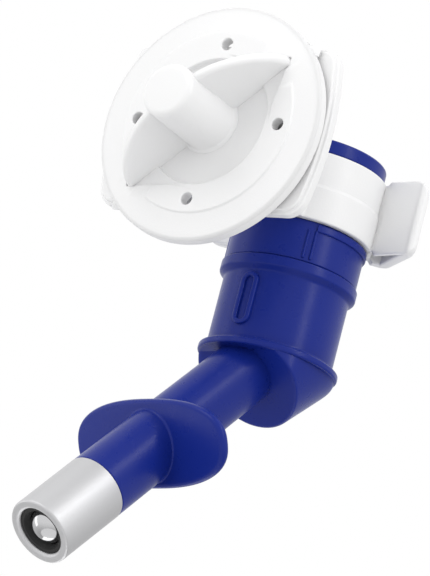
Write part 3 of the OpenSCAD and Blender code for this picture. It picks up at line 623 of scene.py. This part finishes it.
rib = np.r_[rib, [[band_r - rib_in, cap_foot + 3]]]


def swept(profile, angles):
    """Profile of (radius, height) carried round the axis, angles from the spout's side."""
    return np.stack([profile[:, 0] * np.sin(-angles)[:, None],
                     -profile[:, 0] * np.cos(angles)[:, None],
                     np.repeat(profile[None, :, 1], len(angles), 0)], -1)


def rib_grid(at):
    """Short upright rib: its profile across a narrow span of angle, lower at both flanks."""
    span = np.radians(np.array([-1.6, -1.25, -0.7, 0, 0.7, 1.25, 1.6]))
    g = swept(rib, -(math.radians(at) + span))
    g[..., :2] *= 1 - 0.035 * np.array([1.0, 0.45, 0.1, 0, 0.1, 0.45, 1.0])[:, None, None]
    return capped(g)


parts = [(to_bottle(shell), True, True),
         (to_bottle(capped(swept(collar, collar_at))), False, True)]
parts += [(to_bottle(rib_grid(at)), False, True)
          for at in (-collar_half, -53, 53, collar_half)]
cap = solid("nozzle_bottle_cap", parts)
finish_piece(cap, "nozzle", blue, "blue_plastic", "bottle_cap")


# ---- Seals: black rubber gasket under the bottle's neck and the O-rings of cap, tube and
# sleeve.
rubber = mottled("black rubber", (0.010, 0.010, 0.010), (0.016, 0.016, 0.016), 0.55, 3000,
                 0.3, gloss=0.35)
for name in ("neck_gasket", "cap_o_ring", "root_o_ring", "sleeve_o_ring"):
    dress(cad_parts[name], rubber)


# ---- Nozzle body: blue barrel with a lip under the cap, a flange at its foot and, below
# that, an angled socket cut off square for the spout. A raised key stands on its front.
barrel_r, barrel_h, lip_r, lip_top, flange_r, flange_t = 14.8, 17.8, 16.1, 20.45, 16.5, 1.6
elbow_r, elbow_draft, face_s, cross_h, spout_angle = 15.0, 0.08, 10.0, 2.5, math.radians(40.3)
spigot_r, spigot_top, spigot_in, chamber_r, chamber_floor = 13.2, 28.9, 11.3, 11.1, 5.1
way_r, root_r, plug_s, far = 3.6, 7.2, face_s - 5, 1e4
elbow_heart, elbow_lid, elbow_blend = -3.0, 2.4, 46.0
key_lip, key_proud, key_foot, key_tall, key_wide = 1.1, 0.8, 3.85, 11.7, 3.3
key_turn = math.radians(11.8)
body_line = [(0, -flange_t), (flange_r, -flange_t), (flange_r, 0), (barrel_r, 0.15),
             (barrel_r, barrel_h - 0.9), (lip_r, barrel_h + 0.3), (lip_r, lip_top),
             (spigot_r, lip_top), (spigot_r, spigot_top), (spigot_in, spigot_top),
             (spigot_in, lip_top - 1), (chamber_r, lip_top - 1.2), (chamber_r, chamber_floor),
             (0, chamber_floor - 0.5)]
body_line = rounded(body_line, [0.5, 0.5, 0.9, 0.8, 0.7, 0.3, 0.1, 0.3, 0.3, 0.1, 0.1, 1.5], 6)
body = solid("nozzle_body", [(to_bottle(around(body_line, 192)), False, True)])


def to_spout(p):
    """Axes of the spout, z down it from where it crosses the bottle's axis, to row axes."""
    y, z = turned(p[..., 1], p[..., 2], math.pi - spout_angle)
    return to_bottle(np.stack([p[..., 0], y, z + cross_h], -1))


def to_cone(e, w, r, grow):
    """How far a ray goes to a round wall: the positive root of the quadratic for offset w
    plus ray e, both square to the wall's axis, to reach the radius r that grows by grow."""
    aa, bb = (e * e).sum(-1) - grow * grow, (e * w).sum(-1) - grow * r
    root = np.sqrt(np.maximum(bb * bb - aa * ((w * w).sum(-1) - r * r), 0))
    ahead = (-bb + root) / np.where(np.abs(aa) < 1e-6, 1e-6, aa)
    return np.where((aa > 1e-5) & (ahead > 0), ahead, far)


def elbow_grid(count, rows):
    """Socket as a ball of rays from a point inside it: each ray ends at the nearest of the
    socket's cone, its square face, the barrel's round and a level inside the flange, with
    the edges blended by a high power mean."""
    turn_a = np.linspace(0, 2 * np.pi, count, endpoint=False)
    tilt = np.linspace(0, np.pi, rows)[:, None]
    down = np.array([0, -math.sin(spout_angle), -math.cos(spout_angle)])
    across, up = np.array([1.0, 0, 0]), np.cross(down, [1.0, 0, 0])
    ray = (np.cos(tilt)[..., None] * down + (np.sin(tilt) * np.cos(turn_a))[..., None] * across
           + (np.sin(tilt) * np.sin(turn_a))[..., None] * up)
    start = np.array([0, 0, elbow_heart])
    off = start - [0, 0, cross_h]
    level = ray @ down
    socket = to_cone(ray - level[..., None] * down, off - (off @ down) * down,
                     elbow_r + elbow_draft * (face_s - off @ down), -elbow_draft * level)
    barrel = to_cone(ray * [1, 1, 0], start * [1, 1, 0], flange_r - 0.3, 0 * level)
    face = (face_s - off @ down) / np.maximum(level, 1e-4)
    lid = elbow_lid / np.maximum(ray[..., 2], 1e-4)
    reach = np.stack([np.minimum(q, far) for q in (socket, barrel, face, lid)])
    return start + ray * ((reach ** -elbow_blend).sum(0) ** (-1 / elbow_blend))[..., None]


def key_grid():
    """Raised rim of the key: a small rounded profile carried round a long loop, two half
    circles joined by straights, that is wrapped on the barrel."""
    t = np.linspace(-np.pi / 2, np.pi / 2, 22)
    bow = np.c_[key_wide / 2 * np.sin(t), key_wide / 2 * np.cos(t)]
    loop = np.r_[bow + [0, key_foot + key_tall - key_wide / 2],
                 -bow + [0, key_foot + key_wide / 2]]
    way = np.roll(loop, -1, 0) - np.roll(loop, 1, 0)
    out = np.c_[-way[:, 1], way[:, 0]] / np.linalg.norm(way, axis=1)[:, None]
    shape = rounded([(-key_lip / 2 - 0.1, -0.5), (-key_lip / 2, key_proud),
                     (key_lip / 2, key_proud), (key_lip / 2 + 0.1, -0.5)], [0.4, 0.4], 4)
    flat = loop[:, None] + out[:, None] * shape[None, :, :1]
    r = barrel_r + shape[None, :, 1] + 0 * flat[..., 0]
    a = flat[..., 0] / barrel_r + key_turn
    return np.stack([r * np.sin(a), -r * np.cos(a), flat[..., 1]], -1)


carve(body, solid("elbow", [(to_bottle(elbow_grid(320, 200)), False, True)]), "UNION")
carve(body, solid("key", [(to_bottle(key_grid()), True, True)]), "UNION")
bore = around([(0, -2.0), (way_r, -2.0), (way_r, plug_s), (root_r, plug_s),
               (root_r, face_s + 3), (0, face_s + 3)], 72)
carve(body, solid("water_way", [(to_spout(bore), False, True)]))
finish_piece(body, "nozzle", blue, "blue_plastic", "nozzle_body")


# ---- Spout tube: blue moulded tube, a little wider towards the sleeve. Its plug sits in the
# socket, and its end is bored out for the spring and the cup.
tube_root_r, tube_end_r, sleeve_s, tip_s = 7.6, 7.95, 63.9, 83.1
plug_r, spigot_end_r, spring_r, tube_tip, spring_seat = root_r - 0.06, 6.74, 4.45, 69.5, 58.7
tube_line = [(way_r, plug_s + 0.1), (plug_r, plug_s + 0.1), (plug_r, face_s),
             (tube_root_r, face_s + 0.02), (tube_end_r, sleeve_s - 0.1),
             (spigot_end_r, sleeve_s - 0.1), (spigot_end_r, tube_tip), (spring_r, tube_tip),
             (spring_r, spring_seat), (way_r, spring_seat), (way_r, plug_s + 0.1)]
tube_line = rounded(tube_line, [0.4, 0, 0, 0.35, 0.15, 0.4, 0.3, 0, 0], 5)[:-1]
tube = solid("nozzle_tube", [(to_spout(around(tube_line, 144)), True, True)])
finish_piece(tube, "nozzle", blue, "blue_plastic", "nozzle_tube")


# ---- Shield: long oval guard across the tube, one moulding with it. It leans back from
# square, its rim is rounded, and a fillet leads from each face into the tube where it can.
shield_s, shield_a, shield_b, shield_t, shield_power = 43.6, 23.6, 10.15, 2.4, 2.5
shield_lean, shield_round = math.radians(-22), 1.1
front_fillet, back_fillet = 0.5, 1.2


def shield_grid(count=480):
    """Rings from the tube out to the rim and back behind: fillet, face, rounded rim, back
    face, back fillet. Each ring is a distance from the tube's axis by direction; the rim is
    a superellipse. The fillets are cut down where the rim is near, and their rings slide so
    that they stay on the tube."""
    t = np.linspace(0, 2 * np.pi, count, endpoint=False)
    beam = np.c_[np.cos(t), np.sin(t)]
    tube_r = (tube_root_r
              + (tube_end_r - tube_root_r) * (shield_s - face_s) / (sleeve_s - face_s))
    hole = tube_r / np.hypot(np.cos(t), np.sin(t) * math.cos(shield_lean))

    def rim(inset):
        share = ((np.abs(np.cos(t)) / (shield_a - inset)) ** shield_power
                 + (np.abs(np.sin(t)) / (shield_b - inset)) ** shield_power)
        return share ** (-1 / shield_power)

    room = np.maximum(rim(shield_round) - hole, 0.08)
    brink = np.maximum(rim(shield_round), hole + 0.06)
    q = np.linspace(0, np.pi / 2, 10)
    out = []
    for side, broad in ((1, front_fillet), (-1, back_fillet)):
        fillet = ((0.6 * room) ** -3.0 + broad ** -3.0) ** (-1 / 3)
        rows = [(hole - 0.6, shield_t / 2 + fillet)]
        rows += [(hole + fillet * (1 - math.cos(b)), shield_t / 2 + fillet * (1 - math.sin(b)))
                 for b in q]
        rows = [(beam * r[:, None] + np.c_[0 * w, side * w * math.tan(shield_lean)], w)
                for r, w in rows]
        foot = rows[-1][0]
        rows += [(foot * (1 - f) + (beam * brink[:, None]) * f, shield_t / 2 + 0 * t)
                 for f in (0.3, 0.65, 1.0)]
        for b in q[1:]:
            r = np.maximum(rim(shield_round * (1 - math.sin(b))), hole + 0.06)
            w = shield_t / 2 - shield_round * (1 - math.cos(b)) + 0 * t
            rows.append((beam * r[:, None], w))
        out.append([np.c_[p, side * w] for p, w in rows])
    g = np.stack(out[0] + out[1][::-1])
    y, z = turned(g[..., 1], g[..., 2], shield_lean)
    return np.stack([g[..., 0], y, z + shield_s], -1)


shield = solid("nozzle_shield", [(to_spout(shield_grid()), True, True)])
finish_piece(shield, "nozzle", blue, "blue_plastic", "tube_shield")


# ---- Steel sleeve: drawn stainless tube slipped over the end of the spout, its mouth rolled
# inwards to hold the seat. The surface keeps fine marks that run round it.
sleeve_r, sleeve_in, lip_foot, mouth_r, lip_round = 8.0, 6.8, 81.9, 5.8, 0.8


def steel(name, rough, bump, bands):
    """Stainless steel: fine grooves across the spout's axis, and roughness that drifts in
    soft wide bands along it. Two noises read Object coordinates turned to the spout."""
    m = bpy.data.materials.new(name)
    m.use_nodes = True
    nodes, link = m.node_tree.nodes, m.node_tree.links.new
    shader = nodes["Principled BSDF"]
    shader.inputs["Base Color"].default_value = (0.57, 0.57, 0.58, 1)
    shader.inputs["Metallic"].default_value = 1.0
    where = nodes.new("ShaderNodeTexCoord")
    ends = to_spout(np.array([[0, 0, 0], [0, 0, 1.0]]))
    spout_way = Vector((ends[1] - ends[0]).tolist()).to_track_quat("Z", "Y").to_euler()

    def streaks(grain, into):
        place, noise = nodes.new("ShaderNodeMapping"), nodes.new("ShaderNodeTexNoise")
        place.vector_type = "TEXTURE"
        place.inputs["Rotation"].default_value = spout_way
        place.inputs["Scale"].default_value = grain
        noise.inputs["Scale"].default_value = 1.0
        noise.inputs["Detail"].default_value = 2.0
        link(where.outputs["Object"], place.inputs["Vector"])
        link(place.outputs["Vector"], noise.inputs["Vector"])
        link(noise.outputs["Fac"], into)

    ramp = nodes.new("ShaderNodeMapRange")
    ramp.inputs["To Min"].default_value = rough - bands
    ramp.inputs["To Max"].default_value = rough + bands
    streaks((0.004, 0.004, 0.08), ramp.inputs["Value"])
    link(ramp.outputs["Result"], shader.inputs["Roughness"])
    relief = nodes.new("ShaderNodeBump")
    relief.inputs["Strength"].default_value = bump
    relief.inputs["Distance"].default_value = 0.00002
    streaks((0.02, 0.02, 0.00016), relief.inputs["Height"])
    link(relief.outputs["Normal"], shader.inputs["Normal"])
    return m


brushed = steel("brushed steel", 0.52, 0.45, 0.11)
sleeve_line = rounded([(sleeve_in, sleeve_s), (sleeve_r, sleeve_s), (sleeve_r, tip_s),
                       (mouth_r, tip_s), (mouth_r, lip_foot), (sleeve_in, lip_foot)],
                      [0.1, 0.5, lip_round, 0.5, 0.15, 0.1], 8)
sleeve = solid("nozzle_steel_sleeve", [(to_spout(around(sleeve_line, 192)), True, True)])
finish_piece(sleeve, "nozzle", brushed, "stainless_steel", "steel_sleeve")


# ---- Seat ring: black rubber behind the sleeve's mouth. Its nose fills the mouth and leads
# in as a cone to the edge that the ball closes against.
edge_s, nose_s, seat_back = tip_s - 2.3, tip_s - 0.75, 79.7
seal_r, seat_r, nose_r, cone_out = 4.25, 6.76, 5.75, 0.75
seat_line = rounded([(seal_r, edge_s), (seal_r + cone_out, nose_s), (nose_r, nose_s),
                     (nose_r, lip_foot), (seat_r, lip_foot), (seat_r, seat_back),
                     (4.92, seat_back), (4.72, edge_s - 0.4)],
                    [0.1, 0.15, 0.3, 0.05, 0.1, 0.1, 0.1, 0.3], 4)
seat = solid("nozzle_seat_ring", [(to_spout(around(seat_line, 144)), True, True)])
finish_piece(seat, "nozzle", rubber, "seal_rubber", "seat_ring")


# ---- Ball: bearing ball of hardened steel, ground and polished. The spring holds its crown
# level with the sleeve's mouth.
ball_s, ball_r = 78.42, 4.75
polished = steel("polished steel", 0.12, 0.02, 0.01)
rise = np.linspace(0, np.pi, 73)
ball_line = np.c_[ball_r * np.sin(rise), ball_s - ball_r * np.cos(rise)]
ball = solid("valve_steel_ball", [(to_spout(around(ball_line, 128)), False, True)])
finish_piece(ball, "valve", polished, "polished_steel", "valve_ball")


# ---- Guide cup and spring: a white moulded cup carries the ball, and a wound steel spring
# pushes it out.
dress(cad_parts["ball_cup"], white)
dress(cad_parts["valve_spring"], steel("spring wire", 0.25, 0.1, 0.02))
